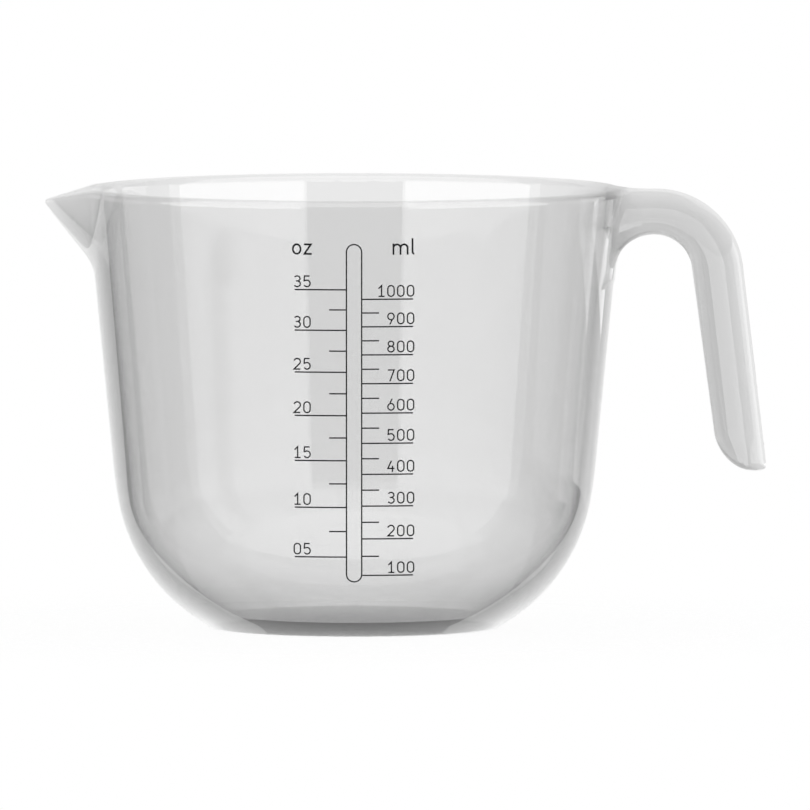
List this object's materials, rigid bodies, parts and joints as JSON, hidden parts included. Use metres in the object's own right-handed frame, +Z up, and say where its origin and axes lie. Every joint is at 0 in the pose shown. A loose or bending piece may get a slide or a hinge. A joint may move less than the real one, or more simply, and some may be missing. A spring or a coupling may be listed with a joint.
{
  "type": "measuring jug",
  "caption": "Clear plastic measuring jug with a beak spout, an open-ended hook handle and a printed millilitre and fluid ounce scale",
  "frame": {"origin": "centre of the flat foot that the jug rests on, on the bowl's axis", "axes": "+X from the bowl towards the handle, so the spout points to -X; +Z up out of the bowl; the printed scale faces -Y"},
  "size_m": [0.1944, 0.1446, 0.119],
  "materials": {
    "clear_styrene": "clear, polished",
    "scale_ink": "screen-printed ink"
  },
  "bodies": {
    "root": {"bowl": "clear_styrene", "spout": "clear_styrene", "handle": "clear_styrene", "scale_column": "scale_ink", "ml_lines": "scale_ink", "ml_half_ticks": "scale_ink", "ml_numerals": "scale_ink", "ml_unit_name": "scale_ink", "oz_lines": "scale_ink", "oz_half_ticks": "scale_ink", "oz_numerals": "scale_ink", "oz_unit_name": "scale_ink"}
  },
  "joints": []
}
